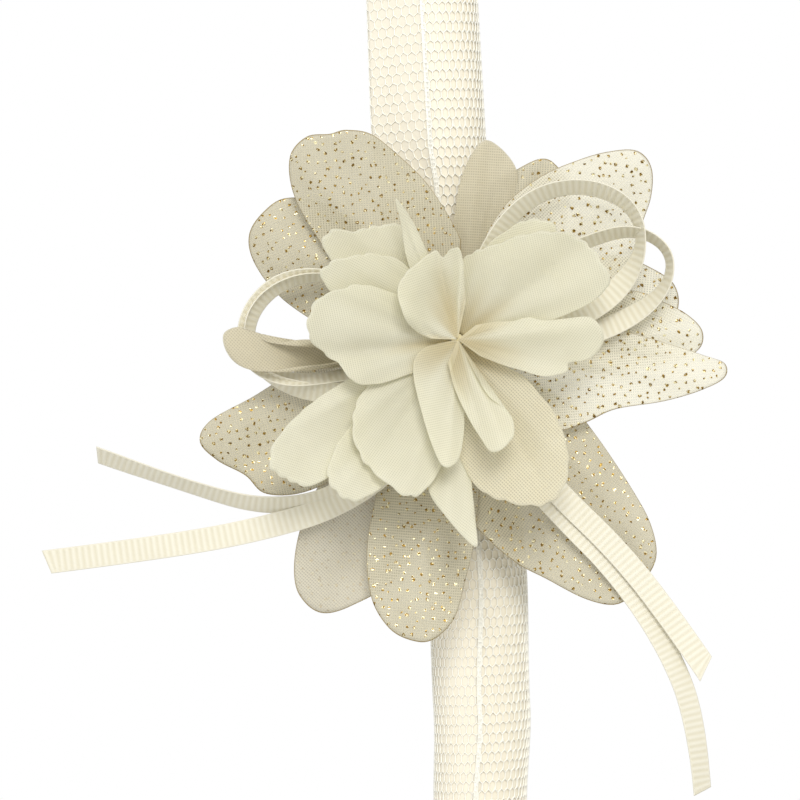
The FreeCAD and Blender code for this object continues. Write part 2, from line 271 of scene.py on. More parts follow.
def grosgrain_cloth(warp_mm=0.35):
    """Ribbed polyester ribbon: close warp threads over heavy weft cords, with a dull satin shine. The ribs'
    fine light and dark bars are painted shade and painted highlight in its colour, and its woven edges a
    fixed lighter tone. The warp is drawn coarser than the real 0.15 mm so that it shows."""
    material, tree = blank_material("grosgrain_ribbon")
    uv = add(tree, "UVMap", uv_map="cloth").outputs[0]
    warp = add(tree, "TexWave",
               {"Vector": uv, "Scale": TAU / (WAVE_TURN * warp_mm * MM), "Distortion": 0.6, "Detail": 1.0,
                "Detail Scale": 0.4}, bands_direction="Y").outputs["Fac"]
    cloud = add(tree, "TexNoise", {"Vector": uv, "Scale": 120.0, "Detail": 2.0}).outputs[0]
    # painted shade and highlight: the rib height kept as rim paints each trough darker and each crest lighter
    rib_height_and_shade = add(tree, "Attribute", attribute_name="rim").outputs["Fac"]
    tone = add(tree, "Mix", {0: 0.7, 2: cloud, 3: rib_height_and_shade}).outputs[0]
    base = add(tree, "Mix", {0: tone, 6: colour("#E6E0CA"), 7: colour("#F8F5E8")},
               data_type="RGBA").outputs[2]
    bump = add(tree, "Bump", {"Strength": 0.3, "Distance": 0.0001, "Height": warp}).outputs[0]
    cloth = add(tree, "BsdfPrincipled",
                {"Base Color": base, "Roughness": 0.5, "Sheen Weight": 0.3, "Sheen Roughness": 0.35,
                 "Specular IOR Level": 0.45, "Normal": bump}).outputs[0]
    through = add(tree, "BsdfTranslucent", {"Color": base}).outputs[0]
    body = add(tree, "MixShader", {0: 0.15, 1: cloth, 2: through}).outputs[0]
    add(tree, "OutputMaterial", {"Surface": body})
    return material


def solid_material(name, face, shade, roughness, grain_mm, bump_mm, **settings):
    """An opaque finish with a fine mottled grain, on the object's own coordinates."""
    material, tree = blank_material(name)
    place = add(tree, "TexCoord").outputs["Object"]
    grain = add(tree, "TexNoise", {"Vector": place, "Scale": 1 / (grain_mm * MM), "Detail": 4.0}).outputs[0]
    base = add(tree, "Mix", {0: grain, 6: colour(shade), 7: colour(face)}, data_type="RGBA").outputs[2]
    bump = add(tree, "Bump", {"Strength": 0.4, "Distance": bump_mm * MM, "Height": grain}).outputs[0]
    finish = {"Base Color": base, "Roughness": roughness, "Normal": bump}
    finish.update((key.replace("_", " "), value) for key, value in settings.items())
    shader = add(tree, "BsdfPrincipled", finish).outputs[0]
    add(tree, "OutputMaterial", {"Surface": shader})
    return material


# ---- mesh helpers
def finish_piece(piece, name, material, node):
    """Gives a piece its name and finish, fixes it to the root body, and lets it stand for a node."""
    piece.name = name
    piece.data.name = name
    piece.data.materials.clear()
    piece.data.materials.append(material)
    for face in piece.data.polygons:
        face.use_smooth = True
    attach(piece, "root")
    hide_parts(node)


def apply_modifier(piece, kind, **settings):
    bpy.ops.object.select_all(action="DESELECT")
    bpy.context.view_layer.objects.active = piece
    piece.select_set(True)
    modifier = piece.modifiers.new(kind.lower(), kind)
    for key, value in settings.items():
        setattr(modifier, key, value)
    bpy.ops.object.modifier_apply(modifier=modifier.name)
    piece.select_set(False)


def mesh_piece(points, faces):
    """A new mesh object from points in millimetres."""
    data = bpy.data.meshes.new("piece")
    data.from_pydata([Vector(p) * MM for p in points], [], faces)
    data.validate()
    piece = bpy.data.objects.new("piece", data)
    bpy.context.scene.collection.objects.link(piece)
    return piece


def join(first, others):
    """Joins other pieces into the first one."""
    bpy.ops.object.select_all(action="DESELECT")
    for piece in (first, *others):
        piece.select_set(True)
    bpy.context.view_layer.objects.active = first
    bpy.ops.object.join()


def mend(piece, merge=None):
    """Merges the vertices that are nearer than merge, or without it fills open ends. The faces are then
    pointed outwards."""
    shape = bmesh.new()
    shape.from_mesh(piece.data)
    if merge:
        bmesh.ops.remove_doubles(shape, verts=shape.verts, dist=merge)
    else:
        bmesh.ops.holes_fill(shape, edges=[edge for edge in shape.edges if edge.is_boundary], sides=0)
    bmesh.ops.recalc_face_normals(shape, faces=shape.faces)
    shape.to_mesh(piece.data)
    shape.free()


def write_cloth_map(piece, flat, rims):
    """Keeps each vertex's place on the flat cloth as a UV map, and a value as rim: on a petal how near it is
    to the cut edge, on a ribbon the rib height that its colour's painted shade is read from.
    """
    layer = piece.data.uv_layers.new(name="cloth")
    corners = [0] * len(piece.data.loops)
    piece.data.loops.foreach_get("vertex_index", corners)
    layer.data.foreach_set("uv", [value for corner in corners for value in flat[corner]])
    write_values(piece, "rim", rims)


def write_values(piece, name, values):
    """Keeps a number for each vertex, for the materials to read."""
    piece.data.attributes.new(name, "FLOAT", "POINT").data.foreach_set("value", values)


# ---- ribbons
# The ribs are drawn coarser than the real 0.8 mm so that they show. The first ribbon lies RIBBON_FIRST in
# front of the candle's axis, each next one RIBBON_GAP further, and all rise from the stitch by RIBBON_LIFT.
RIBBON_WIDTH, RIBBON_THICKNESS, RIB_PITCH = 6.35, 0.3, 1.65
RIBBON_FIRST, RIBBON_GAP, RIBBON_LIFT = 23.2, 0.6, math.radians(4)
# Lines of points across the tape, with its woven edge past SELVEDGE, and how many rows a slanted cut takes.
RIBBON_COLUMNS, SELVEDGE, CUT_STEPS = (-1.0, -0.93, -0.86, -0.4, 0.4, 0.86, 0.93, 1.0), 0.9, 12

# From the back to the front. Each has its lift direction in degrees, its route as X and height above the
# flower's centre in millimetres, and how far the tape is turned edge-on to the viewer along its length:
# (share of the length, degrees).
RIBBONS = {
    "ribbon_tail_left_lower": (205, [(-2.5, -6), (-13, -28), (-33, -42), (-58, -47.5), (-85, -50.3),
                                     (-112, -52)], [(0, 20), (0.5, 0), (1, 5)]),
    "ribbon_tail_left_upper": (200, [(-3.5, -5), (-14, -24), (-31, -38.5), (-52, -42), (-75, -34),
                                     (-97, -24.5)], [(0, 20), (0.3, 25), (0.5, 45), (0.8, 56), (1, 50)]),
    "ribbon_tail_right_lower": (300, [(2, -7), (9, -28), (24, -47), (39, -64), (50.5, -84), (57, -104),
                                      (57.3, -122.9)], [(0, 20), (0.4, 10), (0.8, 30), (1, 40)]),
    "ribbon_tail_right_upper": (308, [(3, -5), (11, -24), (24, -42), (38, -57), (50, -73.5), (60.3, -90.8)],
                                [(0, 20), (0.5, 5), (1, 10)]),
    "ribbon_loop_right_lower": (15, [(6, -3), (24, -3), (42, 1), (56, 9), (58.5, 20), (49, 27), (35, 24),
                                     (20, 17.5), (7, 8)],
                                [(0, 10), (0.3, 30), (0.5, 75), (0.7, 60), (1, 30)]),
    "ribbon_loop_left_lower": (175, [(-5, -5), (-18, -10), (-32, -12.5), (-46, -10), (-56, -2), (-57.5, 9),
                                     (-50, 18), (-37, 21.5), (-22, 17), (-9, 9)],
                               [(0, 20), (0.25, 35), (0.45, 70), (0.75, 80), (1, 60)]),
    "ribbon_loop_left_upper": (175, [(-5, 4), (-17, 13), (-31, 19.5), (-45, 19.5), (-55, 11), (-56.5, -1),
                                     (-47, -8), (-33, -8), (-18, -5), (-5, -3.5)],
                               [(0, 60), (0.25, 62), (0.4, 45), (0.55, 45), (0.75, 62), (1, 40)]),
    "ribbon_loop_right_upper": (30, [(4, 2), (22, 1), (40, 7), (51, 20), (49, 33), (36, 39.5), (21, 37),
                                     (9, 24), (3.5, 9)], [(0, 0), (0.3, 20), (0.45, 70), (0.6, 55), (1, 40)]),
}


def spline_points(controls):
    """Points along the smooth NURBS line through a ribbon's route."""
    curve = bpy.data.curves.new("route", "CURVE")
    curve.dimensions = "3D"
    spline = curve.splines.new("NURBS")
    spline.points.add(len(controls) - 1)
    for point, place in zip(spline.points, controls):
        point.co = (*(place * MM), 1)
    spline.order_u = 3
    spline.use_endpoint_u = True
    curve.resolution_u = 24
    line = bpy.data.objects.new("route", curve)
    bpy.context.scene.collection.objects.link(line)
    bpy.context.view_layer.update()
    data = bpy.data.meshes.new_from_object(line.evaluated_get(bpy.context.evaluated_depsgraph_get()))
    points = [vertex.co / MM for vertex in data.vertices]
    bpy.data.objects.remove(line)
    bpy.data.meshes.remove(data)
    return points


def even_points(points, gap):
    """The same line with points an even distance apart."""
    lengths = [0.0]
    for a, b in zip(points, points[1:]):
        lengths.append(lengths[-1] + (b - a).length)
    count = max(int(lengths[-1] / gap), 8)
    result = []
    index = 0
    for step in range(count + 1):
        want = lengths[-1] * step / count
        while index < len(points) - 2 and lengths[index + 1] < want:
            index += 1
        span = lengths[index + 1] - lengths[index]
        result.append(points[index].lerp(points[index + 1], (want - lengths[index]) / span if span else 0))
    return result, lengths[-1]


def build_ribbon(number, name, lift_direction, route, turns, material):
    """A flat ribbed tape along its route, turned about its own line by the angles in turns."""
    lift_direction = math.radians(lift_direction)
    depth = RIBBON_FIRST + number * RIBBON_GAP
    controls = []
    for x, z in route:
        along = x * math.cos(lift_direction) + z * math.sin(lift_direction)
        controls.append(Vector((x, -depth - along * math.sin(RIBBON_LIFT), FLOWER_HEIGHT + z)))
    line, length = even_points(spline_points(controls), RIB_PITCH / 5)
    half = RIBBON_WIDTH / 2
    slant = 1.8 if name == "ribbon_tail_right_upper" else 0.9
    forward = Vector((0, -1, 0))
    last = len(line) - 1
    points, rims, flat = [], [], []
    for step, place in enumerate(line):
        ahead = (line[min(step + 1, last)] - line[max(step - 1, 0)]).normalized()
        side = ahead.cross(forward).normalized()
        face = side.cross(ahead).normalized()
        turn = math.radians(blend_table(turns, step / last)[0])
        across = side * math.cos(turn) + face * math.sin(turn)
        out = across.cross(ahead).normalized()
        slide = length * step / last
        # the rib height shapes the tape and is also kept as rim for the colour's painted shade; the woven
        # edges get 0.7, a painted lighter tone
        rib_height_and_shade = 0.5 + 0.5 * math.cos(TAU * slide / RIB_PITCH)
        for column in RIBBON_COLUMNS:
            woven_edge = abs(column) > SELVEDGE
            body = RIBBON_THICKNESS / 2 * (0.6 + (0.3 if woven_edge else 0.65 * rib_height_and_shade))
            cut = ahead * (slant * column * smooth_step(last - CUT_STEPS, last, step))
            for sign in (1, -1):
                points.append(place + across * half * column + out * body * sign + cut)
                rims.append(0.7 if woven_edge else rib_height_and_shade)
                flat.append((slide * MM, column * half * MM))
    columns = len(RIBBON_COLUMNS)
    ring = 2 * columns
    loop = [2 * k for k in range(columns)] + [2 * k + 1 for k in reversed(range(columns))]
    faces = []
    for step in range(last):
        a, b = step * ring, (step + 1) * ring
        for here, there in zip(loop, loop[1:] + loop[:1]):
            faces.append((a + here, a + there, b + there, b + here))
    faces.append(tuple(reversed(loop)))
    faces.append(tuple(last * ring + k for k in loop))
    piece = mesh_piece(points, faces)
    write_cloth_map(piece, flat, rims)
    finish_piece(piece, name + "_tape", material, name)


# ---- petals
# From the back to the front of the flower. cut is the petal's cut line, as bearings in degrees round the
# flower (0 to the right, 90 up) and millimetres from its centre. folds are ridges that run out from the
# centre: bearing, height in millimetres towards the viewer, and width in degrees. tip is how far the outer
# edge comes forward and sweep turns it, in degrees. rise is how far the root stands up round the stitch, and
# root how far from the centre the cloth starts. scallop is how deep the waves of the cut are, cup the radius
# of the bowl that the petal lies on, and cloth which of its family's cloths it is cut from.
# The light cloth is the paler copy of the glitter organza, and its paler colour is painted light.
GLITTER_PETALS = {
    "glitter_petal_top_back": dict(
        cut=[(80, 36), (74, 43), (68, 48), (62, 53.5), (57, 54.5), (51, 52), (45, 45), (40, 36)],
        folds=[(64, 0.8, 4)]),
    "glitter_petal_top": dict(
        cut=[(88, 32), (85, 43), (82, 50), (78.5, 54), (74, 53.5), (70, 51), (66, 47), (61, 39)],
        folds=[(80, 0.9, 5)], cloth="plain"),
    "glitter_petal_left": dict(
        cut=[(126, 40), (131, 52), (137, 60), (143, 62.5), (150, 62), (156, 57.5), (163, 48), (170, 37)],
        folds=[(146, 0.8, 7), (158, -0.6, 5)]),
    "glitter_petal_bottom_left": dict(
        cut=[(218, 38), (223, 54), (227, 66), (231, 75), (235, 80), (240, 81), (245, 76), (252, 66),
             (258, 50)],
        folds=[(230, 1.0, 6), (242, -1.0, 5)], cloth="dull"),
    "glitter_petal_right_back": dict(
        cut=[(33, 34), (27, 45), (21, 52), (16, 56.5), (11, 60), (6, 60.5), (1, 57), (-4, 46), (-9, 36)],
        folds=[(12, 0.7, 6)], cloth="light"),
    "glitter_petal_low_left": dict(
        cut=[(183, 34), (188, 46), (192, 57), (194.5, 69), (198, 73.5), (203, 71.5), (209, 67), (215, 65.5),
             (221, 58), (227, 46), (232, 36)],
        folds=[(197, 1.2, 4), (207, -0.8, 4), (219, 1.0, 6)]),
    "glitter_petal_high_right": dict(
        cut=[(10, 36), (16, 48), (22, 54), (28, 58), (33, 65), (38, 69.5), (43, 69.5), (48, 64), (53, 57.5),
             (59, 50), (66, 40), (71, 30)],
        folds=[(30, -0.8, 5), (42, 1.0, 6), (56, -0.7, 6)], cloth="light"),
    "glitter_petal_high_left": dict(
        cut=[(84, 27), (91, 34), (98, 43.5), (104, 52), (109, 60), (114, 63.5), (118, 64.5), (123, 67.5),
             (129, 66), (135, 57.5), (141, 44), (147, 34)],
        folds=[(127, 1.7, 5), (110, 0.8, 8)]),
    "glitter_petal_low_right": dict(
        cut=[(264, 32), (270, 46), (276, 54), (282, 62), (287, 68), (293, 77), (298, 82), (303.5, 81),
             (309, 78), (313, 71), (316, 62), (321, 48), (328, 35)],
        folds=[(284, -1.0, 4), (297, 1.0, 7), (311, 0.8, 4)]),
    "glitter_petal_bottom": dict(
        cut=[(238, 44), (243, 60), (248, 72), (253, 78), (258, 80), (262, 79.5), (266, 74), (268.5, 64),
             (271, 55), (274, 43), (279, 32)],
        folds=[(252, 0.8, 3), (262, 1.2, 6)]),
    "glitter_petal_right": dict(
        cut=[(17, 38), (12, 49), (7, 56), (3, 61.5), (-1, 65), (-5, 65), (-8, 60.5), (-12, 50), (-17, 38)],
        folds=[(-2, 0.8, 4)], cloth="light"),
    "glitter_petal_curled": dict(
        cut=[(178, 34), (178.5, 41), (181, 48), (180, 54), (179, 58), (182, 61.5), (186, 61), (189, 58),
             (190, 52), (188.5, 43), (188, 32)],
        folds=[(186, 1.0, 5)], sweep=-7, tip=9.5, cloth="plain"),
    "glitter_petal_tongue": dict(
        cut=[(308, 26), (315, 36), (324, 40.5), (333, 46), (340, 57), (345, 66), (348.5, 71.5), (351.5, 71),
             (353, 65), (356, 54), (362, 40)],
        folds=[(347, 1.3, 4)], tip=1.5, cloth="light"),
}
CHIFFON_PETALS = {
    "chiffon_petal_high_left_back": dict(
        cut=[(107, 24), (112, 33), (118, 35.5), (124, 38), (130, 39.5), (136, 43.5), (142, 43), (147, 35),
             (151, 26)],
        folds=[(131, 0.9, 5)]),
    "chiffon_petal_high_right_back": dict(
        cut=[(25, 26), (32, 34), (40, 38), (48, 39.5), (55, 37), (61, 33), (68, 27), (75, 20)],
        folds=[(46, 0.8, 6)]),
    "chiffon_petal_low_left": dict(
        cut=[(195, 28), (199, 39), (202, 47), (206, 55), (211, 59), (216, 58), (221, 54.5), (225, 45),
             (230, 33)],
        folds=[(204, 1.3, 4), (216, -1.0, 4)]),
    "chiffon_petal_low_left_inner": dict(
        cut=[(213, 31), (218, 43), (223, 49.5), (229, 51), (235, 49), (240, 42), (246, 31)],
        folds=[(229, 1.0, 5)]),
    "chiffon_point_bottom": dict(
        cut=[(250, 22), (253, 33), (256, 41), (263, 47), (271.5, 54), (271, 44), (270, 35), (269, 24)],
        folds=[(263, 1.4, 4)], scallop=0),
    "chiffon_petal_low_right": dict(
        cut=[(265, 22), (269, 33), (276, 40.5), (284, 44.5), (292, 48), (299, 48.5), (306, 45), (313, 39),
             (320, 31), (328, 20)],
        folds=[(284, 1.2, 5), (296, -1.0, 4), (308, 1.2, 5)], cloth="thin"),
    "chiffon_petal_high_left": dict(
        cut=[(116, 17), (123, 26), (130, 31), (137, 34.5), (144, 38.5), (151, 40), (156, 35), (161, 26)],
        folds=[(139, 1.0, 6)]),
    "chiffon_petal_bottom": dict(
        cut=[(199, 18), (204, 27), (211, 33), (219, 37), (228, 40), (237, 41.5), (246, 43), (253, 41.5),
             (259, 34), (264, 24)],
        folds=[(214, 1.2, 6), (232, -0.8, 5), (248, 1.5, 6)]),
    "chiffon_petal_high_right": dict(
        cut=[(90, 13), (85, 20), (76, 23.5), (67, 26), (57, 31), (48, 36), (40, 40), (32, 42), (24, 42.5),
             (16, 41.5), (11, 34), (7, 22)],
        folds=[(74, 1.0, 8), (50, 1.0, 7), (33, -0.9, 5), (21, 1.1, 6)]),
    "chiffon_point_top": dict(
        cut=[(99, 10), (103, 18), (106, 26), (107.5, 33), (110.5, 40), (113, 33), (118, 26), (124, 18),
             (131, 10)],
        folds=[(111, 0.4, 5)], tip=-0.8, scallop=0),
    "chiffon_petal_left": dict(
        cut=[(135, 12), (141, 22), (147, 29.5), (153, 33), (160, 38), (168, 39.5), (176, 38.5), (183, 34.5),
             (190, 31), (198, 30), (205, 25), (213, 15)],
        folds=[(152, 1.2, 7), (170, 1.6, 8), (184, -1.4, 5), (197, 1.0, 6)]),
    "chiffon_petal_heart": dict(
        cut=[(74, 10), (82, 19), (86, 23.5), (91, 23.6), (96.7, 22.2), (100, 23.9), (105, 23.7), (112, 22.8),
             (120, 22.6), (128, 21.8), (137, 20.4), (146, 17.8), (156, 14.9), (165, 11.5), (174, 7)],
        folds=[(84, 2.6, 5), (101, -1.6, 8), (150, 6.5, 19)], tip=1.0, scallop=0.3, rise=3.2, root=0.4),
    "chiffon_roll": dict(
        cut=[(188, 5.4), (190, 8.9), (200, 12.4), (218, 15.4), (233, 18.9), (245, 23.6), (254, 29.4),
             (259, 32.9), (263, 33), (267, 31), (270, 25.4), (272, 18.8), (274, 10)],
        folds=[(243, 3.4, 16), (262, 1.2, 5)], scallop=0, rise=2.6, root=0.4),
    "chiffon_petal_right": dict(
        cut=[(36, 6), (22, 11), (15, 15.6), (14, 19.6), (9, 23.1), (7.4, 28.7), (6.4, 34.3), (3, 36.6),
             (-2, 37.9), (-6.5, 37.4), (-12, 34.8), (-15.5, 29.8), (-20, 29.8), (-26.5, 24.6), (-29, 18.8),
             (-33, 13), (-40, 7)],
        folds=[(3, 2.8, 9), (-18, -0.8, 9)], scallop=0, cup=76, rise=2.4, root=0.4),
    "chiffon_fold": dict(
        cut=[(243, 6.5), (263, 13.1), (274, 20.7), (279, 26), (282, 30.2), (286, 30.9), (292, 30),
             (297, 28.7), (301, 24.8), (299, 20.5), (295.5, 17.4), (294, 13.3), (296, 7.6)],
        folds=[(289, 3.0, 8)], tip=1.5, scallop=0, rise=2.4, root=0.4),
}
# In millimetres: how far each petal lies in front of the last, the cloth's thickness, and a scallop's length.
PETAL_PITCH, PETAL_THICKNESS, SCALLOP_LENGTH = 0.5, 0.14, 6.5
PETAL_GRID = (72, 44)


def along_cut(corners, share):
    """A point on the smooth line through a petal's corners, from 0 at the first to 1 at the last."""
    place = min(share * (len(corners) - 1), len(corners) - 1.001)
    index = int(place)
    t = place - index
    a, b, c, d = (corners[min(max(index + k, 0), len(corners) - 1)] for k in (-1, 0, 1, 2))
    return (b * 2 + (c - a) * t + (a * 2 - b * 5 + c * 4 - d) * t ** 2 + (b * 3 - a - c * 3 + d) * t ** 3) / 2


def build_petal(name, material, record_slot, level, cup, cut, folds=(), scallop=0.0, tip=0.0, sweep=0.0,
                rise=0.0, root=2.0):
    """A petal of thin cloth: a grid fanned out from the flower's centre to its cut line, laid on the bowl
    that its place in the stack gives it, and creased by its folds."""
    bpy.ops.mesh.primitive_grid_add(x_subdivisions=PETAL_GRID[0], y_subdivisions=PETAL_GRID[1], size=2)
    piece = bpy.context.object
    if cut[0][0] > cut[-1][0]:
        cut = cut[::-1]
    corners = [Vector((mm * math.cos(math.radians(bearing)), mm * math.sin(math.radians(bearing))))
               for bearing, mm in cut]
    reach = max(mm for _, mm in cut)
    spread = cut[-1][0] - cut[0][0]
    seed = sum(map(ord, name)) % 97
    arc = sum((b - a).length for a, b in zip(corners, corners[1:]))
    grain = Matrix.Rotation(seed, 2)
    flat, rims, painted_shade_distance = [], [], []
    for vertex in piece.data.vertices:
        share, out = (vertex.co.x + 1) / 2, (vertex.co.y + 1) / 2

        # the cut line, with scallops of uneven length and a hand's unsteadiness
        edge = along_cut(corners, share)
        wander = 2.4 * noise.noise((share * 5.1, seed, 3.0))
        wave = abs(math.sin(arc * share * math.pi / SCALLOP_LENGTH + seed + wander)) - 0.6
        edge *= 1 + scallop * wave / edge.length
        edge *= 1 + 0.9 * noise.noise((share * 4, seed, 0)) / edge.length
        place = (edge.normalized() * root).lerp(edge, out)
        r, bearing = place.length, math.degrees(math.atan2(place.y, place.x))

        # how far in front of the candle's axis: the bowl, the folds, a loose edge and fine pleats at the root
        depth = level + rise * math.exp(-(r / 7) ** 2) + cup - math.sqrt(cup ** 2 - r ** 2)
        lift = 0
        for fold, height, width in folds:
            apart = (bearing - fold + 180) % 360 - 180
            lift += height * math.exp(-(apart / width) ** 2)
        depth += lift * smooth_step(0.05, 0.75, r / reach)
        loose = smooth_step(0.1, 1.0, r / reach)
        depth += loose * 0.55 * noise.noise((share * 3.0, out * 2.0, seed + 7.0))
        depth += 0.22 * smooth_step(0.05, 0.3, out) * noise.noise((share * 9.0, out * 1.2, seed + 2.0))
        depth += tip * smooth_step(0.5, 0.9, out)
        turn = math.radians(bearing + sweep * (r / reach) ** 3)
        vertex.co = Vector((r * math.cos(turn), -depth, FLOWER_HEIGHT + r * math.sin(turn))) * MM
        flat.append(tuple(place @ grain * MM))
        # the distance that the painted shade is read from: valleys count as nearer the root and are painted
        # tan, ridges as further and are painted paler
        painted_shade_distance.append(r + 2.5 * lift)
        rims.append(min((edge - place).length, r * math.radians(min(share, 1 - share) * spread)))
    write_cloth_map(piece, flat, rims)
    write_values(piece, "painted_shade_distance", painted_shade_distance)
    area = sum(face.area for face in piece.data.polygons)
    width, length = sheet_size(corners, area)
    apply_modifier(piece, "SOLIDIFY", thickness=PETAL_THICKNESS * MM, offset=0.0)
    finish_piece(piece, name + "_cloth", material, name)


def sheet_size(corners, area):
    """Width and length in metres of the rectangle that a petal is cut from: along its middle line and
    across it, with the fullness that its folds take up."""
    middle = sum(corners, Vector((0, 0))).normalized()
    across = [corner.x * middle.y - corner.y * middle.x for corner in corners]
    length = max(corner.dot(middle) for corner in corners)
    width = max(across) - min(across)
    return max(width * MM, 0.01, area / (length * MM) * 1.02), length * MM


def build_petals(petals, record_slot, first, cup_back, cup_front, scallop, **cloths):
    """A family of petals, the first of them at the depth first, on bowls that close up towards the front."""
    for number, (name, shape) in enumerate(petals.items()):
        shape = dict(shape)
        cup = cup_back + (cup_front - cup_back) * number / (len(petals) - 1)
        cloth = cloths[shape.pop("cloth", "face")]
        build_petal(name, cloth, record_slot, first + PETAL_PITCH * number,
                    **{"scallop": scallop, "cup": cup, **shape})


# ---- the wrapped shaft
# height, sideways shift, half width, how flat the left front is (0 round, 1 flat), and how far the wrap is
# twisted, in degrees: gathered in under the flower, looser and creased above it, close and round below
WRAP = [
    (30, -1.1, 12.8, 0.0, -8), (60, 1.0, 13.3, 0.0, -4), (97, 2.0, 13.6, 0.0, 2), (160, 0.0, 12.5, 0.2, 6),
    (200, -3.4, 15.2, 0.9, 2), (215, -4.0, 15.7, 1.0, 0), (262, -3.5, 15.3, 1.0, -2),
]
WRAP_DEPTH = 12.6
LINING_WIDTH, LINING_WALL, LINING_INSET = 89.0, 0.5, 0.5


def wrap_point(turn, height, inset):
    """A point on the wrapping: turn is the angle round it from +X in degrees, 270 faces the viewer."""
    shift, half_width, flatness, _ = blend_table(WRAP, height)
    half_width -= inset
    depth = WRAP_DEPTH - inset
    angle = math.radians(turn)
    x, y = half_width * math.cos(angle), depth * math.sin(angle)
    quarter = (turn % 360 - 180) / 90
    if 0 < quarter < 1:
        straight = Vector((-half_width, 0)).lerp(Vector((0, -depth)), quarter)
        x += (straight.x - x) * flatness
        y += (straight.y - y) * flatness
    return Vector((shift + x, y, height))


def wrap_normal(turn, height):
    """The direction straight out of the wrapping."""
    across = wrap_point(turn + 2, height, 0) - wrap_point(turn - 2, height, 0)
    return across.cross(Vector((0, 0, 1))).normalized()


def build_lining(material):
    """The satin under the net: a thin closed wall that follows the net's shape just inside it."""
    columns, rows = 120, 90
    points, faces, flat = [], [], []
    for row in range(rows + 1):
        height = WRAP_BOTTOM + (WRAP_TOP - WRAP_BOTTOM) * row / rows
        for column in range(columns):
            turn = 360 * column / columns
            wrinkle = 0.12 * noise.noise((math.cos(math.radians(turn)) * 3, math.sin(math.radians(turn)) * 3,
                                          height / 45))
            points.append(wrap_point(turn, height, LINING_INSET + wrinkle))
            flat.append((column / columns * LINING_WIDTH * MM, (height - WRAP_BOTTOM) * MM))
    for row in range(rows):
        for column in range(columns):
            a, b = row * columns + column, row * columns + (column + 1) % columns
            faces.append((a, b, b + columns, a + columns))
    piece = mesh_piece(points, faces)
    write_cloth_map(piece, flat, [1.0] * len(points))
    apply_modifier(piece, "SOLIDIFY", thickness=LINING_WALL * MM, offset=-1.0)
    finish_piece(piece, "lining_satin", material, "lining_wrap")


# The net is laid out flat in columns of NET_TURN / NET_COLUMNS and in rows, and then wrapped round. It has
# NET_OVERLAP columns more than one turn. Its threads are drawn thicker than the real 0.1 mm, to show.
NET_COLUMNS, NET_ROW, NET_THREAD = 44, 2.6, 0.34
NET_OVERLAP, NET_TURN, NET_TIGHT = 12, 90.0, 7.0


def net_turn(column, height):
    """Angle round the wrapping of a net column. Above the flower the net is drawn tight over the left
    front, which takes NET_TIGHT of its columns, and bunches up over the rest."""
    even = 360 * column / NET_COLUMNS
    if column < 0:
        drawn = 90 * column / NET_OVERLAP
    elif column < NET_TIGHT:
        drawn = 90 * column / NET_TIGHT
    else:
        drawn = 90 + 270 * (column - NET_TIGHT) / (NET_COLUMNS - NET_TIGHT)
    looseness = blend_table([(150, 0.0), (190, 1.0)], height)[0]
    return 270 - (even + (drawn - even) * looseness) + blend_table(WRAP, height)[3]


def build_net(material):
    """Hexagonal net: one cell, repeated into a flat sheet, wrapped round, and thinned to its threads. The
    sheet overlaps itself over the right front, and its turned hem is the bright line down the shaft."""
    total, rows = NET_COLUMNS + NET_OVERLAP, int((WRAP_TOP - WRAP_BOTTOM - 1.5) / NET_ROW)
    bpy.ops.mesh.primitive_circle_add(vertices=6, radius=1, fill_type="NGON")
    piece = bpy.context.object
    for vertex in piece.data.vertices:
        vertex.co = Vector((vertex.co.x / math.sqrt(3), vertex.co.y * NET_ROW / 1.5, 0))
    for count, step in ((2, (0.5, NET_ROW, 0)), (total, (1, 0, 0)), (rows // 2, (0, 2 * NET_ROW, 0))):
        apply_modifier(piece, "ARRAY", use_relative_offset=False, use_constant_offset=True, count=count,
                       constant_offset_displace=step, use_merge_vertices=True)
    mend(piece, merge=0.02)

    # the turned hem: a close strip along the sheet's last columns
    bpy.ops.mesh.primitive_grid_add(x_subdivisions=4, y_subdivisions=2 * rows, size=1)
    hem = bpy.context.object
    for vertex in hem.data.vertices:
        vertex.co = Vector((total - 0.1 + 0.5 * vertex.co.x,
                            (vertex.co.y + 0.5) * NET_ROW * (rows - 0.3) - 1, 0))
    join(piece, [hem])

    # hand-laid, so that no knot is quite in its place, and lifted where the sheet lies over itself
    rng = random.Random(4)
    for vertex in piece.data.vertices:
        shake = 0.0 if vertex.co.x > total - 0.65 else 1.0
        column = vertex.co.x - NET_OVERLAP + 0.07 * shake * rng.uniform(-1, 1)
        height = WRAP_BOTTOM + 1.8 + vertex.co.y + 0.1 * shake * rng.uniform(-1, 1)
        height = min(max(height, WRAP_BOTTOM), WRAP_TOP)
        lift = 0.02 + 0.16 * smooth_step(NET_COLUMNS - NET_OVERLAP - 2, NET_COLUMNS - NET_OVERLAP, column)
        turn = net_turn(column, height)
        vertex.co = (wrap_point(turn, height, 0.3) + wrap_normal(turn, height) * lift) * MM
    apply_modifier(piece, "WIREFRAME", thickness=NET_THREAD * MM, use_replace=True, use_boundary=True,
                   use_even_offset=False)
    finish_piece(piece, "tulle_net", material, "tulle_sleeve")


# ---- candle, wick and fastenings
# The slimmer end that stands in a holder, the height of the rounded shoulder, and the dip round the wick.
HOLDER_RADIUS, HOLDER_TOP, SHOULDER, DIP_EDGE = 9.8, 22.2, 8, 3.2


def start_cylinder(radius, low_end, high_end, steps, forward=False):
    """A cylinder up the candle's axis, or out of the flower's centre towards the viewer."""
    middle = (low_end + high_end) / 2
    place = Vector((0, -middle, FLOWER_HEIGHT)) if forward else Vector((0, 0, middle))
    bpy.ops.mesh.primitive_cylinder_add(vertices=steps, radius=radius * MM, depth=(high_end - low_end) * MM,
                                        location=place * MM, rotation=(math.pi / 2 if forward else 0, 0, 0))
    bpy.ops.object.transform_apply()
    return bpy.context.object


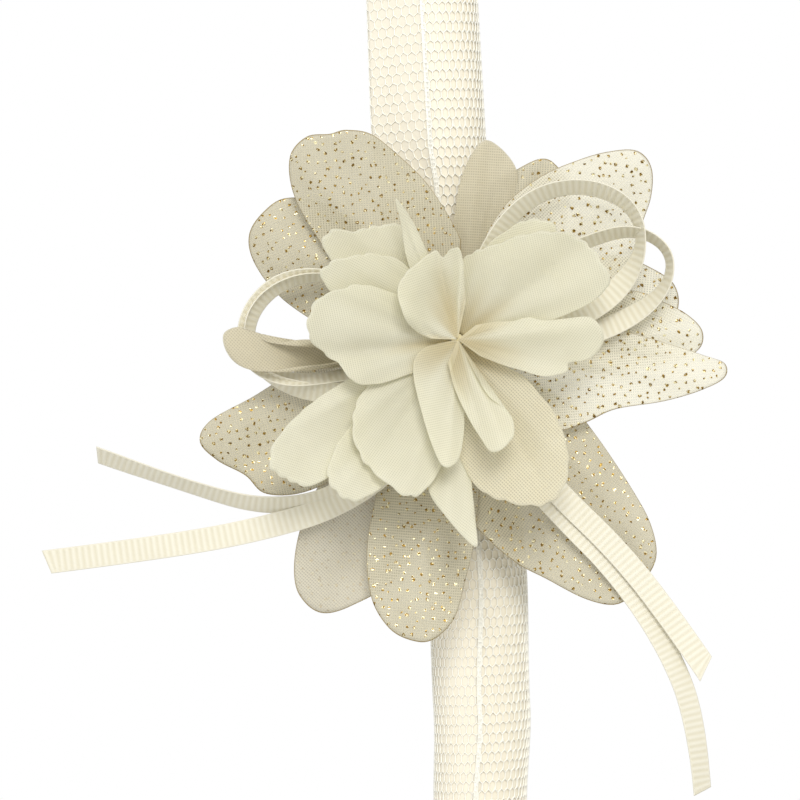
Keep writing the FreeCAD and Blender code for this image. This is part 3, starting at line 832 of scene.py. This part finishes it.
def select_end(piece, axis, sign):
    """Selects in edit mode the flat end of a piece that faces along an axis."""
    bpy.ops.object.mode_set(mode="EDIT")
    bpy.ops.mesh.select_mode(type="FACE")
    bpy.ops.mesh.select_all(action="DESELECT")
    shape = bmesh.from_edit_mesh(piece.data)
    shape.normal_update()
    furthest = max(face.calc_center_median()[axis] * sign for face in shape.faces)
    for face in shape.faces:
        face.select_set(face.calc_center_median()[axis] * sign > furthest - 0.01 * MM)
    bmesh.update_edit_mesh(piece.data)


def draw_out(rings, axis, radius, end):
    """Extrudes the selected end through rings of (radius, place along the axis), and leaves edit mode."""
    for next_radius, next_end in rings:
        move = Vector((0, 0, 0))
        move[axis] = (next_end - end) * MM
        bpy.ops.mesh.extrude_region_move(TRANSFORM_OT_translate={"value": move})
        share = next_radius / radius
        size = [share, share, share]
        size[axis] = 1
        bpy.ops.transform.resize(value=size)
        radius, end = next_radius, next_end
    bpy.ops.object.mode_set(mode="OBJECT")


def arch(radius_from, radius_to, end_from, end_to, steps=10):
    """Rings of a quarter round, from the wide end to the narrow one."""
    return [(radius_to + (radius_from - radius_to) * math.cos(math.pi / 2 * k / steps),
             end_from + (end_to - end_from) * math.sin(math.pi / 2 * k / steps)) for k in range(1, steps + 1)]


def build_candle(material):
    """Dipped wax with a softly rounded shoulder, a shallow dip round the wick and a trimmed holder end."""
    end, wick_start = high("candle_body").z, low("wick").z
    foot, ledge = 0.8, HOLDER_TOP - 0.6
    piece = start_cylinder(HOLDER_RADIUS, foot, ledge, 96)
    select_end(piece, 2, -1)
    draw_out(arch(HOLDER_RADIUS, HOLDER_RADIUS - foot, foot, 0.0, 5), 2, HOLDER_RADIUS, foot)
    select_end(piece, 2, 1)
    column = [(CANDLE_RADIUS, HOLDER_TOP + (end - SHOULDER - HOLDER_TOP) * k / 10) for k in range(11)]
    shoulder = arch(CANDLE_RADIUS, DIP_EDGE, end - SHOULDER, end)
    dip = [(2.2, end - 0.25), (1.6, end - 0.7), (1.0, end - 0.9), (1.0, wick_start)]
    draw_out(column + shoulder + dip, 2, HOLDER_RADIUS, ledge)
    finish_piece(piece, "candle_wax", material, "candle_body")


def twist_up(places, radius, bottom, pitch, turns, steps):
    """Strands side by side, twisted round the upright axis."""
    for x, y in places:
        bpy.ops.mesh.primitive_circle_add(vertices=8, radius=radius * MM, fill_type="NOTHING",
                                          location=Vector((x, y, bottom)) * MM)
    rings = [piece for piece in bpy.context.scene.objects if piece.name.startswith("Circle")]
    join(rings[0], rings[1:])
    bpy.ops.object.transform_apply()
    piece = bpy.context.object
    apply_modifier(piece, "SCREW", axis="Z", angle=TAU, screw_offset=pitch * MM, iterations=turns,
                   steps=steps, render_steps=steps, use_smooth_shade=True)
    mend(piece)
    return piece


def build_wick(material):
    """Three cotton strands laid round each other, standing a little out of the wax and bent at the tip."""
    start, end = low("wick").z, high("wick").z
    strand, lay, turns = 0.47, 0.42, 50
    places = [(lay * math.cos(TAU * k / 3), lay * math.sin(TAU * k / 3)) for k in range(3)]
    piece = twist_up(places, strand, start, (end - start - 0.2) / turns, turns, 12)
    lean = 1.3
    for vertex in piece.data.vertices:
        vertex.co.x += lean * MM * smooth_step(end - 8, end + 1, vertex.co.z / MM) ** 2
    finish_piece(piece, "cotton_wick", material, "wick")


def build_tie(material):
    """Cloth-covered wire: five turns round the wrapping, its two ends twisted together down the back."""
    bottom, top = low("flower_tie").z, high("flower_tie").z
    radius, thick, turns = high("flower_tie").x - 0.5, 0.48, 5
    bpy.ops.mesh.primitive_circle_add(vertices=10, radius=thick * MM, fill_type="NOTHING",
                                      location=Vector((0, radius, bottom + thick)) * MM,
                                      rotation=(math.pi / 2, 0, math.pi / 2))
    bpy.ops.object.transform_apply()
    wound = bpy.context.object
    wound.name = "tie_turns"
    apply_modifier(wound, "SCREW", axis="Z", angle=TAU, iterations=turns, steps=72, render_steps=72,
                   screw_offset=(top - bottom - 2 * thick) / turns * MM)
    mend(wound)
    tail = twist_up([(-thick, 0), (thick, 0)], thick, top - 12, 2.4, 5, 16)
    for vertex in tail.data.vertices:
        vertex.co.y += (radius + 0.9) * MM
    join(wound, [tail])
    finish_piece(wound, "tie_wire_wrap", material, "flower_tie")


def build_disc(material):
    """Felt with a softened rim, where the petals are sewn down, pricked on both faces by the needle."""
    radius, soft = high("backing_disc").x, 0.4
    back, front = high("backing_disc").y, low("backing_disc").y
    piece = start_cylinder(radius, soft - back, -front - soft, 72, forward=True)
    for face, inwards in ((front, 1), (back, -1)):
        start = face + soft * inwards
        select_end(piece, 1, -inwards)
        rim = arch(radius, radius - 0.5, start, face, 4)
        draw_out(rim + [(1.3, face), (1.1, face + 0.3 * inwards)], 1, radius, start)
    finish_piece(piece, "felt_disc", material, "backing_disc")


def build_stitch(material):
    """The sewing thread through the petals' roots, with its flat knot in front."""
    back, front, thread = -high("centre_stitch").y, -low("centre_stitch").y, 0.8
    piece = start_cylinder(thread, back, back + 1.0, 20, forward=True)
    select_end(piece, 1, -1)
    twist = [(thread + 0.08 * math.sin(k * 1.9), -back - 1.0 - (front - back - 2.0) * k / 40)
             for k in range(1, 41)]
    knot = [(1.2, 0.75), (1.6, 0.5), (1.65, 0.3), (1.2, 0.05), (0.4, 0.0)]
    draw_out(twist + [(radius, behind - front) for radius, behind in knot], 1, thread, -back - 1.0)
    finish_piece(piece, "sewing_thread", material, "centre_stitch")


set_camera()
ribbon_cloth = grosgrain_cloth()
for order, (ribbon, (lift, route, turns)) in enumerate(RIBBONS.items()):
    build_ribbon(order, ribbon, lift, route, turns, ribbon_cloth)

# Each cloth's third colour is its painted shade: the tan painted near the petals' roots and in their valleys.
# Organza with glued foil flakes: a stiff, sheer weave, dry and a little warm, with points of gold.
glitter = sheer_cloth("glitter_organza", "#E2DDCA", "#C8C1A9", "#BCAD84", weave_mm=0.7, cover=0.56, glow=0.3,
                      glitter=1.0)
# A sheerer cut of it, which glows with the light that comes through from behind; its paler colours are
# painted light, given to the petals on the right.
sheer_painted_lit_glitter = sheer_cloth("sheer_painted_lit_glitter_organza", "#FBF9EF", "#EFECDF", "#D8CDA8", weave_mm=0.7, cover=0.5,
                            glow=0.45, glitter=1.0)
# The same cloth's wrong side: flatter and greyer, its flakes seen dimly through the threads.
dull = sheer_cloth("organza_back", "#E4E0D2", "#CBC4B0", "#C0B28C", weave_mm=0.7, cover=0.58, glow=0.3,
                   glitter=0.3)
# Bare organza: a close, even tan weave with nothing on it.
plain = sheer_cloth("plain_organza", "#E4DECA", "#CBC2A6", "#C0B084", weave_mm=0.7, cover=0.74, glow=0.3)
# Ivory chiffon: fine, soft and matt, crisp where it is cut, and lit from inside its folds.
chiffon = sheer_cloth("ivory_chiffon", "#F8F7EB", "#E9E6D3", "#D2C084", weave_mm=0.6, cover=0.78, glow=0.5)
# A thinner ply of it, through which the petal behind is seen.
thin_chiffon = sheer_cloth("sheer_chiffon", "#F5F2E2", "#E4DDC6", "#D2BF86", weave_mm=0.72, cover=0.56,
                           glow=0.5)
build_petals(GLITTER_PETALS, "glitter_organza", first=16.0, cup_back=700, cup_front=260, scallop=0.0,
             face=glitter, light=sheer_painted_lit_glitter, plain=plain, dull=dull)
build_petals(CHIFFON_PETALS, "chiffon", first=28.8, cup_back=100, cup_front=46, scallop=0.7, face=chiffon,
             thin=thin_chiffon)

# Polyester satin: smooth and evenly warm, with a soft sheen under the net.
build_lining(solid_material("cream_satin", "#F1EBDB", "#EAE3D2", 0.5, 3.0, 0.05, Sheen_Weight=0.3))
# Nylon thread: nearly white and a little shiny, so that each cell has bright sides.
build_net(solid_material("nylon_net", "#FFFEF8", "#FEFCF2", 0.4, 1.0, 0.01, Sheen_Weight=0.2))
# Dipped wax: dense cream, with light that spreads under its skin.
build_candle(solid_material("cream_wax", "#F2E9CB", "#EEE4C2", 0.42, 6.0, 0.05, Subsurface_Weight=0.3))
# Cotton braid: dry, matt and a little hairy.
build_wick(solid_material("cotton_braid", "#E9E4D3", "#CFC8B2", 0.85, 0.5, 0.1))
# Wire wound with cotton: matt, with a fine thready grain.
build_tie(solid_material("cloth_covered_wire", "#E8E0C4", "#D8CFAF", 0.8, 0.5, 0.08))
# Pressed wool felt: quite matt, with a soft bloom and matted fibres.
build_disc(solid_material("pressed_felt", "#EDE8D8", "#DDD6C0", 0.95, 0.8, 0.2, Sheen_Weight=0.5))
# Spun cotton: matt, and tinted tan, a shade darker than the cloth that it sews; the tan is partly painted
# shade for the flower's pinched centre.
build_stitch(solid_material("cotton_thread", "#DDD3AE", "#CFC397", 0.8, 0.3, 0.1))

build_floor()
set_light()
